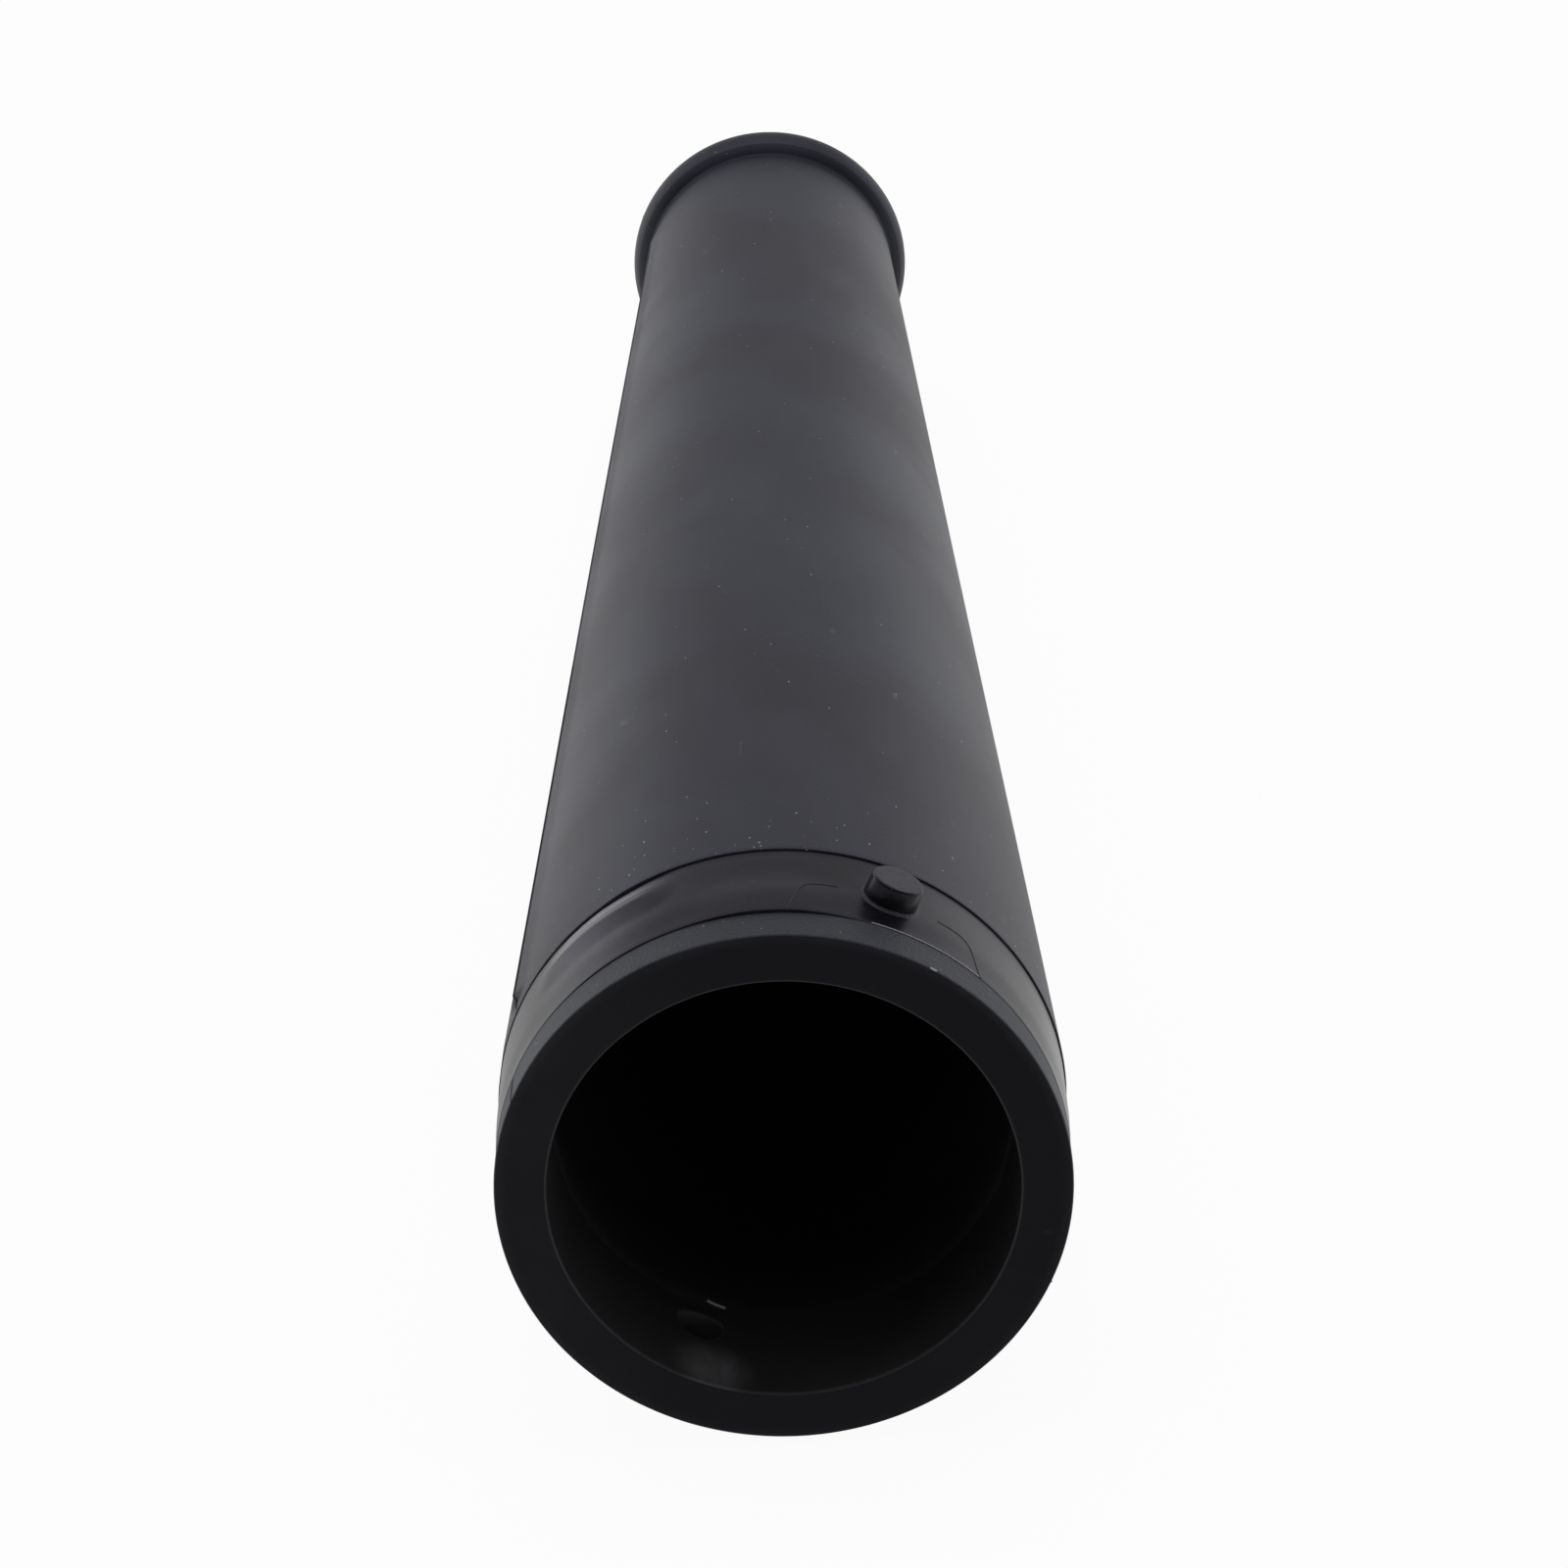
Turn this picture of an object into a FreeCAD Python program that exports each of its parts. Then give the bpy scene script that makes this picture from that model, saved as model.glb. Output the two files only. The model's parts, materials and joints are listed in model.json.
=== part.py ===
import FreeCAD, Part
import math
import os
import Sketcher

# Leaf blower nozzle tube: one hollow plastic moulding, blown in a two-part mould.
# It is built about its own Y axis, with the collar face at Y = 0 and the bayonet pegs along Z,
# and then laid on its side as it comes to rest: on the front edge of the body, on the rolled
# bead at the small end and against one peg.

NODE = "nozzle_tube"

# Driving dimensions, in millimetres and degrees.
SIZES = [
    ("tube_length", 355.0, "collar face to outlet face"),
    ("collar_radius", 35.1, "plain collar at the bayonet end"),
    ("collar_length", 5.75, "collar face to the bayonet band"),
    ("collar_chamfer", 0.2, "outer edge of the collar face"),
    ("collar_step", 0.25, "bayonet band above the collar"),
    ("band_length", 16.15, "length of the bayonet band"),
    ("band_draft", 0.05, "narrowing of the band towards the body"),
    ("body_step", 0.35, "tapered body above the band"),
    ("body_tip_radius", 23.1, "tapered body carried on to the crest of the bead"),
    ("wall", 2.4, "wall of the tapered body"),
    ("neck_wall", 6.4, "wall of the thick neck at the collar"),
    ("neck_length", 20.0, "straight part of the bore"),
    ("mouth_chamfer", 0.4, "edge of the bore at the collar face"),
    ("flare_length", 24.0, "widening from the neck to the thin wall"),
    ("flare_round", 12.0, "blends at both ends of the widening"),
    ("bead_height", 3.0, "crest of the bead above the body"),
    ("bead_round", 6.0, "rounding of the bead"),
    ("bead_fillet", 1.2, "hollow between the body and the bead"),
    ("bead_lip", 3.6, "crest of the bead to the outlet face"),
    ("outlet_chamfer", 1.0, "inner edge of the outlet"),
    ("peg_station", 13.0, "collar face to the axis of the pegs"),
    ("peg_height", 3.1, "pegs above the band"),
    ("peg_top_radius", 3.25, "flat top of a peg"),
    ("peg_draft", 4.0, "draft of a peg, degrees"),
    ("peg_round", 0.4, "top edge of a peg"),
    ("peg_fillet", 0.4, "foot of a peg"),
    ("peg_wall", 2.2, "plastic between the top of a peg and its hollow"),
    ("hollow_radius", 2.4, "closed end of the hollow behind a peg"),
    ("peg_count", 2, "pegs round the band"),
]

# Dimensions that follow from the driving ones. Levels are measured from the tube's axis.
DERIVED = [
    ("band_front_radius", "collar_radius + collar_step", "band beside the collar"),
    ("band_rear_radius", "band_front_radius - band_draft", "band beside the body"),
    ("body_front_radius", "band_rear_radius + body_step", "body beside the band"),
    ("band_end", "collar_length + band_length", "collar face to the body"),
    ("crest_station", "tube_length - bead_lip", "collar face to the crest of the bead"),
    ("body_slope", "(body_front_radius - body_tip_radius) / (crest_station - band_end)", "taper of the body"),
    ("bead_radius", "body_tip_radius + bead_height", "crest of the bead"),
    ("mouth_radius", "collar_radius - neck_wall", "bore through the neck"),
    ("flare_end", "neck_length + flare_length", "collar face to the thin wall"),
    ("duct_radius", "body_front_radius - wall - body_slope * (flare_end - band_end)", "duct past the flare"),
    ("outlet_radius", "body_tip_radius - wall - body_slope * bead_lip", "duct at the outlet face"),
    ("band_at_peg", "band_front_radius - band_draft * (peg_station - collar_length) / band_length",
     "band under the axis of a peg"),
    ("peg_root", "(mouth_radius + band_rear_radius) / 2", "level in the neck wall that a peg starts from"),
    ("peg_top", "band_at_peg + peg_height", "level of the top of a peg"),
    ("hollow_root", "mouth_radius / 2", "level in the bore that a hollow starts from"),
    ("hollow_end", "peg_top - peg_wall", "level of the closed end of a hollow"),
]


def fill_sheet(doc):
    """Write the dimensions into the sheet, one alias each, and read them back."""
    sheet = doc.addObject("Spreadsheet::Sheet", "Sizes")
    rows = [(alias, str(value), note) for alias, value, note in SIZES]
    rows += [(alias, "=" + formula, note) for alias, formula, note in DERIVED]
    for row, (alias, content, note) in enumerate(rows, start=1):
        sheet.set("A%d" % row, alias)
        sheet.set("B%d" % row, content)
        sheet.set("C%d" % row, note)
        sheet.setAlias("B%d" % row, alias)
    doc.recompute()
    return {alias: float(sheet.get(alias)) for alias, content, note in rows}


def origin_plane(body, role):
    """Find one of the body's own origin planes or axes."""
    return next(part for part in body.Origin.OriginFeatures if part.Role == role)


def new_sketch(body, name, role):
    """Start a sketch on one of the body's origin planes."""
    sketch = body.newObject("Sketcher::SketchObject", name)
    sketch.AttachmentSupport = [(origin_plane(body, role), "")]
    sketch.MapMode = "FlatFace"
    return sketch


def bind(sketch, kind, name, expression, *places):
    """Add one named constraint and tie it to the sheet."""
    value = float(sketch.evalExpression(expression))
    index = sketch.addConstraint(Sketcher.Constraint(kind, *places, value))
    sketch.renameConstraint(index, name)
    sketch.setExpression("Constraints." + name, expression)


def pin_point(sketch, name, place, across, along):
    """Hold a point of the section at its distance across and along the sketch."""
    if across:
        bind(sketch, "DistanceX", name + "_x", across, -1, 1, *place)
    if along:
        bind(sketch, "DistanceY", name + "_y", along, -1, 1, *place)


def bead_points(size):
    """Work out where the hollow beside the bead meets the body and the bead."""
    start = FreeCAD.Vector(size["body_front_radius"], size["band_end"], 0)
    along = (FreeCAD.Vector(size["body_tip_radius"], size["crest_station"], 0) - start).normalize()
    outward = FreeCAD.Vector(along.y, -along.x, 0)
    bead_centre = FreeCAD.Vector(size["bead_radius"] - size["bead_round"], size["crest_station"], 0)
    to_bead = bead_centre - start
    rise = size["bead_fillet"] - to_bead.dot(outward)
    reach = size["bead_fillet"] + size["bead_round"]
    run = to_bead.dot(along) - math.sqrt(reach ** 2 - rise ** 2)
    fillet_centre = start + outward * size["bead_fillet"] + along * run
    body_end = start + along * run
    meeting = bead_centre + (fillet_centre - bead_centre) * (size["bead_round"] / reach)
    return body_end, fillet_centre, meeting, bead_centre


def arc_between(centre, radius, first, last):
    """Anticlockwise arc from one point to another."""
    first_angle = math.atan2(first.y - centre.y, first.x - centre.x)
    last_angle = math.atan2(last.y - centre.y, last.x - centre.x)
    circle = Part.Circle(centre, FreeCAD.Vector(0, 0, 1), radius)
    return Part.ArcOfCircle(circle, first_angle, last_angle)


def draw_wall_section(body, size):
    """Section of the wall: radius across the sketch, station along the tube up the sketch."""
    sketch = new_sketch(body, "WallSection", "XY_Plane")
    body_end, fillet_centre, meeting, bead_centre = bead_points(size)
    lip_height = math.sqrt(size["bead_round"] ** 2 - size["bead_lip"] ** 2)
    outlet_edge = bead_centre + FreeCAD.Vector(lip_height, size["bead_lip"], 0)

    outside = [
        FreeCAD.Vector(size["mouth_radius"], 0, 0),
        FreeCAD.Vector(size["collar_radius"], 0, 0),
        FreeCAD.Vector(size["collar_radius"], size["collar_length"], 0),
        FreeCAD.Vector(size["band_front_radius"], size["collar_length"], 0),
        FreeCAD.Vector(size["band_rear_radius"], size["band_end"], 0),
        FreeCAD.Vector(size["body_front_radius"], size["band_end"], 0),
        body_end,
    ]
    inside = [
        outlet_edge,
        FreeCAD.Vector(size["outlet_radius"], size["tube_length"], 0),
        FreeCAD.Vector(size["duct_radius"], size["flare_end"], 0),
        FreeCAD.Vector(size["mouth_radius"], size["neck_length"], 0),
        FreeCAD.Vector(size["mouth_radius"], 0, 0),
    ]
    face, collar, band_step, band, body_step, taper = [
        sketch.addGeometry(Part.LineSegment(first, last)) for first, last in zip(outside, outside[1:])
    ]
    hollow = sketch.addGeometry(arc_between(fillet_centre, size["bead_fillet"], meeting, body_end))
    bead = sketch.addGeometry(arc_between(bead_centre, size["bead_round"], meeting, outlet_edge))
    outlet, duct, flare, neck = [
        sketch.addGeometry(Part.LineSegment(first, last)) for first, last in zip(inside, inside[1:])
    ]

    for first, last in (
        (face, collar), (collar, band_step), (band_step, band), (band, body_step), (body_step, taper),
        (bead, outlet), (outlet, duct), (duct, flare), (flare, neck), (neck, face),
    ):
        sketch.addConstraint(Sketcher.Constraint("Coincident", first, 2, last, 1))
    sketch.addConstraint(Sketcher.Constraint("Tangent", taper, 2, hollow, 2))
    sketch.addConstraint(Sketcher.Constraint("Tangent", hollow, 1, bead, 1))
    for level in (face, band_step, body_step, outlet):
        sketch.addConstraint(Sketcher.Constraint("Horizontal", level))
    for upright in (collar, neck):
        sketch.addConstraint(Sketcher.Constraint("Vertical", upright))
    sketch.addConstraint(Sketcher.Constraint("PointOnObject", face, 1, -1))

    pin_point(sketch, "mouth", (face, 1), "Sizes.mouth_radius", None)
    pin_point(sketch, "collar_end", (collar, 2), "Sizes.collar_radius", "Sizes.collar_length")
    pin_point(sketch, "band_front", (band, 1), "Sizes.band_front_radius", None)
    pin_point(sketch, "band_rear", (band, 2), "Sizes.band_rear_radius", "Sizes.band_end")
    pin_point(sketch, "body_front", (taper, 1), "Sizes.body_front_radius", None)
    body_tip = Part.Point(FreeCAD.Vector(size["body_tip_radius"], size["crest_station"], 0))
    tip = sketch.addGeometry(body_tip, True)
    sketch.addConstraint(Sketcher.Constraint("PointOnObject", tip, 1, taper))
    pin_point(sketch, "body_tip", (tip, 1), "Sizes.body_tip_radius", "Sizes.crest_station")
    pin_point(sketch, "bead_centre", (bead, 3), "Sizes.bead_radius - Sizes.bead_round", "Sizes.crest_station")
    bind(sketch, "Radius", "bead_round", "Sizes.bead_round", bead)
    bind(sketch, "Radius", "bead_fillet", "Sizes.bead_fillet", hollow)
    pin_point(sketch, "outlet", (outlet, 2), "Sizes.outlet_radius", "Sizes.tube_length")
    pin_point(sketch, "flare_end", (duct, 2), "Sizes.duct_radius", "Sizes.flare_end")
    pin_point(sketch, "neck_end", (flare, 2), None, "Sizes.neck_length")
    return sketch


def revolve_wall(body, section):
    """Turn the wall section into the hollow tube."""
    wall = body.newObject("PartDesign::Revolution", "Wall")
    wall.Profile = section
    wall.ReferenceAxis = (section, ["V_Axis"])
    wall.Angle = 360
    return wall


def draw_peg_section(body, name, end_radius, root, end):
    """Half section of a drafted round peg or hollow about its own axis, root to end along Z.

    The three sizes are sheet expressions: the radius at the end and the levels of root and end.
    """
    sketch = new_sketch(body, name, "YZ_Plane")
    root_radius = "%s + (%s - %s) * tan(Sizes.peg_draft * 1 deg)" % (end_radius, end, root)
    station = float(sketch.evalExpression("Sizes.peg_station"))
    low = float(sketch.evalExpression(root))
    high = float(sketch.evalExpression(end))
    foot = station + float(sketch.evalExpression(root_radius))
    tip = station + float(sketch.evalExpression(end_radius))
    corners = [
        FreeCAD.Vector(station, low, 0),
        FreeCAD.Vector(foot, low, 0),
        FreeCAD.Vector(tip, high, 0),
        FreeCAD.Vector(station, high, 0),
    ]
    lines = [
        sketch.addGeometry(Part.LineSegment(first, last))
        for first, last in zip(corners, corners[1:] + corners[:1])
    ]
    for first, last in zip(lines, lines[1:] + lines[:1]):
        sketch.addConstraint(Sketcher.Constraint("Coincident", first, 2, last, 1))
    bottom, side, top, centre = lines
    axis = sketch.addGeometry(Part.LineSegment(corners[0], corners[3]), True)
    sketch.addConstraint(Sketcher.Constraint("Coincident", axis, 1, bottom, 1))
    sketch.addConstraint(Sketcher.Constraint("Coincident", axis, 2, top, 2))
    for level in (bottom, top):
        sketch.addConstraint(Sketcher.Constraint("Horizontal", level))
    sketch.addConstraint(Sketcher.Constraint("Vertical", centre))
    pin_point(sketch, "root", (bottom, 1), "Sizes.peg_station", root)
    pin_point(sketch, "foot", (side, 1), "Sizes.peg_station + " + root_radius, None)
    pin_point(sketch, "tip", (side, 2), "Sizes.peg_station + " + end_radius, end)
    return sketch


def add_pegs(doc, body, section):
    """Bayonet pegs on the band, each blown hollow from inside, repeated round the tube."""
    peg_section = draw_peg_section(
        body, "PegSection", "Sizes.peg_top_radius", "Sizes.peg_root", "Sizes.peg_top")
    peg = body.newObject("PartDesign::Revolution", "Peg")
    peg.Profile = peg_section
    peg.ReferenceAxis = (peg_section, ["Axis0"])
    peg.Angle = 360
    doc.recompute()

    hollow_section = draw_peg_section(
        body, "HollowSection", "Sizes.hollow_radius", "Sizes.hollow_root", "Sizes.hollow_end")
    before = body.Shape.Volume
    hollow = body.newObject("PartDesign::Groove", "PegHollow")
    hollow.Profile = hollow_section
    hollow.ReferenceAxis = (hollow_section, ["Axis0"])
    hollow.Angle = 360
    doc.recompute()
    if not body.Shape.Volume < before:
        raise RuntimeError("the hollow behind the peg cut nothing")

    ring = body.newObject("PartDesign::PolarPattern", "PegRing")
    ring.Originals = [peg, hollow]
    ring.Axis = (section, ["V_Axis"])
    ring.Angle = 360
    ring.setExpression("Occurrences", "Sizes.peg_count")
    body.Tip = ring
    doc.recompute()


def ring_edge(radius, station):
    """Test for a full circle about the tube's axis."""
    def wanted(edge):
        if not isinstance(edge.Curve, Part.Circle):
            return False
        centre = edge.Curve.Center
        on_axis = math.hypot(centre.x, centre.z) < 1e-3
        return on_axis and abs(centre.y - station) < 1e-3 and abs(edge.Curve.Radius - radius) < 1e-3
    return wanted


def peg_edge(size, lowest, highest):
    """Test for an edge round the outside of a peg, between two levels above the tube's axis."""
    nearest = (size["hollow_radius"] + size["peg_top_radius"]) / 2
    farthest = 2 * size["peg_top_radius"]

    def wanted(edge):
        if isinstance(edge.Curve, Part.Line):
            return False
        middle = edge.valueAt((edge.FirstParameter + edge.LastParameter) / 2)
        offset = middle - FreeCAD.Vector(0, size["peg_station"], 0)
        for number in range(int(size["peg_count"])):
            angle = 2 * math.pi * number / size["peg_count"]
            outward = FreeCAD.Vector(math.sin(angle), 0, math.cos(angle))
            level = offset.dot(outward)
            reach = (offset - outward * level).Length
            if lowest < level < highest and nearest < reach < farthest:
                return True
        return False
    return wanted


def finish_edges(doc, body, feature_type, size_property, alias, name, test):
    """One fillet or chamfer on every edge that the test picks out."""
    base = body.Tip
    edges = ["Edge%d" % number for number, edge in enumerate(base.Shape.Edges, start=1) if test(edge)]
    if not edges:
        raise RuntimeError("no edge for " + name)
    finish = body.newObject(feature_type, name)
    finish.Base = (base, edges)
    finish.setExpression(size_property, "Sizes." + alias)
    body.Tip = finish
    doc.recompute()


def round_edges(doc, body, alias, name, test):
    finish_edges(doc, body, "PartDesign::Fillet", "Radius", alias, name, test)


def chamfer_edges(doc, body, alias, name, test):
    finish_edges(doc, body, "PartDesign::Chamfer", "Size", alias, name, test)


def finish_all_edges(doc, body, size):
    """Moulded edges of the pegs, the blends of the flare and the trimmed edges of both ends."""
    peg_middle = size["band_at_peg"] + size["peg_height"] / 2
    round_edges(doc, body, "peg_fillet", "PegFeet", peg_edge(size, size["peg_root"], peg_middle))
    round_edges(doc, body, "peg_round", "PegTops", peg_edge(size, peg_middle, 2 * size["peg_top"]))
    round_edges(
        doc, body, "flare_round", "NeckBlend", ring_edge(size["mouth_radius"], size["neck_length"]))
    round_edges(doc, body, "flare_round", "DuctBlend", ring_edge(size["duct_radius"], size["flare_end"]))
    chamfer_edges(doc, body, "collar_chamfer", "CollarEdge", ring_edge(size["collar_radius"], 0))
    chamfer_edges(doc, body, "mouth_chamfer", "MouthEdge", ring_edge(size["mouth_radius"], 0))
    chamfer_edges(
        doc, body, "outlet_chamfer", "OutletEdge", ring_edge(size["outlet_radius"], size["tube_length"]))


def resting_angles(size):
    """Tilt of the axis to the floor, and roll of the pegs, with the tube lying at rest."""
    bead_middle = size["bead_radius"] - size["bead_round"]
    edges = (
        (size["collar_radius"], size["collar_chamfer"]),
        (size["band_front_radius"], size["collar_length"]),
        (size["body_front_radius"], size["band_end"]),
    )
    tilt = -math.pi
    for radius, station in edges:
        run = size["crest_station"] - station
        drop = radius - bead_middle
        gap = size["bead_round"] / math.hypot(run, drop)
        tilt = max(tilt, math.acos(gap) - math.atan2(run, drop))
    bead_level = size["crest_station"] * math.sin(tilt) + bead_middle * math.cos(tilt)
    floor_level = bead_level + size["bead_round"]

    corner_height = size["peg_top"] - size["peg_round"]
    corner_side = size["peg_top_radius"] - size["peg_round"]
    room = floor_level - size["peg_round"] - size["peg_station"] * math.sin(tilt)
    corner_reach = math.hypot(corner_side, corner_height)
    roll = math.atan2(corner_side, corner_height)
    roll += math.acos(min(1.0, room / math.cos(tilt) / corner_reach))
    return math.degrees(tilt), math.degrees(roll)


def lay_down(body, size):
    """Lay the tube on the floor, with the origin under the middle of its box."""
    tilt, roll = resting_angles(size)
    pitched = FreeCAD.Rotation(FreeCAD.Vector(1, 0, 0), -tilt)
    rolled = FreeCAD.Rotation(FreeCAD.Vector(0, 1, 0), roll)
    turn = pitched.multiply(rolled)
    body.Placement = FreeCAD.Placement(FreeCAD.Vector(0, 0, 0), turn)
    box = body.Shape.optimalBoundingBox(False, False)
    base = FreeCAD.Vector(-box.Center.x, -box.Center.y, -box.ZMin)
    body.Placement = FreeCAD.Placement(base, turn)
    print("tilt %.3f, roll %.3f, base %.4f %.4f %.4f" % (tilt, roll, base.x, base.y, base.z))


def check(doc, body):
    """Stop if any feature failed or the finished shape is not one sound solid."""
    failed = [item.Name for item in doc.Objects if {"Invalid", "Error"} & set(item.State)]
    if failed:
        raise RuntimeError("failed features: " + ", ".join(failed))
    if body.Shape.isNull() or not body.Shape.isValid() or len(body.Shape.Solids) != 1:
        raise RuntimeError("the tube is not one valid solid")


def main():
    doc = FreeCAD.newDocument("NozzleTube")
    size = fill_sheet(doc)
    body = doc.addObject("PartDesign::Body", "NozzleTube")
    body.Label = NODE
    section = draw_wall_section(body, size)
    revolve_wall(body, section)
    doc.recompute()
    add_pegs(doc, body, section)
    finish_all_edges(doc, body, size)
    lay_down(body, size)
    doc.recompute()
    check(doc, body)
    os.makedirs("parts", exist_ok=True)
    body.Shape.exportStep(os.path.join("parts", body.Label + ".step"))
    print("volume %.1f mm3, faces %d" % (body.Shape.Volume, len(body.Shape.Faces)))


main()
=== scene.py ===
import json
import math

import bmesh
import bpy
from mathutils import Matrix, Vector


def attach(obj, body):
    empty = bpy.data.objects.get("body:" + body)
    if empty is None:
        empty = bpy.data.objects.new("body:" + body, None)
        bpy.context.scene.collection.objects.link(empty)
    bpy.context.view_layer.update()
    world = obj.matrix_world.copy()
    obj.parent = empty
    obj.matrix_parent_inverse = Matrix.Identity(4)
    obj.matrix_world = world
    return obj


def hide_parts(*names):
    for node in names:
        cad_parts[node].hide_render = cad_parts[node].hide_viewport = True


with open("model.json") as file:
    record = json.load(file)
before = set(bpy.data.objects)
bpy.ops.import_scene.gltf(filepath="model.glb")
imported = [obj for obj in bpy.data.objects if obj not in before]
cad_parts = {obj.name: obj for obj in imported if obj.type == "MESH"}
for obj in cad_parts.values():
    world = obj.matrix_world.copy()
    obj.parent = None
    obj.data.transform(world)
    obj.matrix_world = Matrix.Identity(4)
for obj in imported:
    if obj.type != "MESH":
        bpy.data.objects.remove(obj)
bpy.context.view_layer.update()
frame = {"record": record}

MM = 0.001

# Points and faces are found by their place, to within this.
TOUCH = 0.01 * MM

# Sizes of the moulding, as in the CAD part.
TUBE_LENGTH = 355.0 * MM
COLLAR_RADIUS = 35.1 * MM
COLLAR_LENGTH = 5.75 * MM
COLLAR_EDGE = 0.2 * MM
COLLAR_MOUNT_STATION = 2.8 * MM
BAND_FRONT_RADIUS = 35.35 * MM
BAND_REAR_RADIUS = 35.42 * MM
BAND_END = 21.9 * MM
BODY_FRONT_RADIUS = 35.65 * MM
BODY_TIP_RADIUS = 23.1 * MM
WALL = 2.4 * MM
MOUTH_RADIUS = 28.7 * MM
MOUTH_ROUND = 0.4 * MM
NECK_LENGTH = 20.0 * MM
FLARE_END = 44.0 * MM
FLARE_ROUND = 12.0 * MM
BEAD_RADIUS = 26.1 * MM
BEAD_ROUND = 6.0 * MM
BEAD_FILLET = 1.2 * MM
BEAD_LIP = 3.6 * MM
OUTLET_ROUND = 1.0 * MM
PEG_STATION = 13.0 * MM
PEG_TOP = 38.4276 * MM
PEG_TOP_RADIUS = 3.25 * MM
PEG_DRAFT = math.radians(4.0)
PEG_ROUND = 0.4 * MM
PEG_FILLET = 0.4 * MM
HOLLOW_END = 36.2276 * MM
HOLLOW_RADIUS = 2.4 * MM
HOLLOW_ROUND = 0.5 * MM

# Fine forms that the solid leaves out. Angles are in degrees, clockwise from the upper peg, seen from
# the bayonet end. A line's points are a station in millimetres and an angle. A lift is an angle, a rise
# and a reach. A crown or fall is an angle, half its spread, a rise and a reach.
STEP_ROUND = 0.12 * MM
FLASH_HALF_WIDTH = 0.12 * MM
BODY_FLASH = 0.2 * MM
COLLAR_FLASH = 0.1 * MM
FACE_FLASH = 0.012 * MM
BEAD_FLASH = 0.06 * MM
# Up to this station the flash along the body takes the dark end-face finish as painted shade.
PAINTED_SHADE_FLASH_END = 132.0 * MM
BODY_FLASH_START = BAND_END + 1.0 * MM
BEAD_FLASH_START = TUBE_LENGTH - 9.0 * MM
BODY_FREE_START = BAND_END + 4.0 * MM
BODY_FREE_END = TUBE_LENGTH - 12.0 * MM
PARTING_SWELL = 0.5 * MM
PARTING_SWELL_REACH = 3.0 * MM
BOW = 0.15 * MM
BOW_HALF_LENGTH = 8.0 * MM
BAND_SINK = 0.2 * MM
BAND_SINK_REACH = 6.0 * MM
BAND_LIFTS = ((-24.0, 0.36 * MM, 11.0 * MM), (-52.0, 0.12 * MM, 14.0 * MM))
BAND_LIFT_SPREAD = 10.0
WITNESS_ROUND = 0.07 * MM
WITNESS_SIDE = ((5.9, 20.8), (7.5, 20.0), (9.5, 19.2), (11.2, 18.4), (12.2, 17.6), (12.9, 16.0),
                (13.1, 13.5), (13.1, 10.5))
WITNESS_FRONT = ((6.0, -4.0), (6.0, 0.0), (6.0, 4.0), (6.0, 8.0), (6.0, 12.0), (6.0, 16.0),
                 (6.0, 20.4))
WITNESS_FRONT_ROUND = 0.08 * MM
# A pale speck on the collar's front edge, drawn as a short line.
COLLAR_SPECK = ((0.15, 8.2), (0.1, 8.9), (0.15, 9.6))
COLLAR_SPECK_ROUND = 0.13 * MM
BAND_CROWN = (-61.0, 12.0, 0.4 * MM, 4.4 * MM)
BAND_FALL = (-61.0, 12.0, -0.1 * MM, 4.4 * MM)
BODY_FALL = (-83.0, 22.0, -0.11 * MM, 4.0 * MM)
TROUGH_STATION = 17.6 * MM
TROUGH_HALF_WIDTH = 1.8 * MM
TROUGH_DEPTH = 0.5 * MM
TROUGH_REACH = 4.0 * MM
FOLD = ((19.5, 2.0), (19.2, 3.5), (18.9, 5.0), (18.6, 6.6))
FOLD_ROUND = 0.22 * MM

# Middles of patches, along the tube's own axes: a painted reflection on the bore's floor by the mouth, a
# patch of wipe marks with a painted highlight on the band, and a polished patch on the band.
PAINTED_REFLECTION_PLACE = (1.6 * MM, 3.8 * MM, -28.6 * MM)
WIPE_AND_HIGHLIGHT_PLACE = (-31.3 * MM, 14.0 * MM, 16.6 * MM)
POLISHED_PLACE = (-31.0 * MM, 19.8 * MM, 17.2 * MM)

# Limits between finishes.
BORE_END = NECK_LENGTH - 2.0 * MM
# Within this reach of a peg's axis, inside the wall, the hollow is painted lighter.
PAINTED_LIGHT_HOLLOW_RADIUS = HOLLOW_RADIUS + 0.9 * MM
BEAD_SHADE_START = TUBE_LENGTH - 9.4 * MM
BEAD_SHADE_END = TUBE_LENGTH - 5.0 * MM
BEAD_SHADE_RADIUS = BEAD_RADIUS - 1.0 * MM

# Mesh density: columns round the tube, cells of wall round a peg, rings over a peg's rounded edge, and
# the rings up its side, on its top and in its hollow's end, as shares of the way.
COLUMNS = 288
PATCH_CELLS = 12
PEG_SIDES = 4 * PATCH_CELLS
ROUND_PIECES = 5
PEG_SIDE_SHARES = (0.02, 0.5, 0.98)
PEG_TOP_SHARES = (0.7, 0.4, 0.15)
HOLLOW_END_SHARES = (0.5, 0.15)
SMOOTH_ANGLE = math.radians(40)

# The photograph's camera: focal length and picture size in its pixels, and what it sees.
PICTURE_PIXELS = 1600
FOCAL_PIXELS = 4500
FACE_PIXEL = (799.9, 1217.2)
FACE_DISTANCE = 533.24 * MM
AXIS_RISE = 0.4403
AXIS_YAW = -0.0078
PEG_LEAN = math.radians(21.1)
SENSOR_WIDTH = 36.0


def mount(name):
    """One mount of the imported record."""
    return next(item for item in frame["record"]["mounts"] if item["name"] == name)


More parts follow.
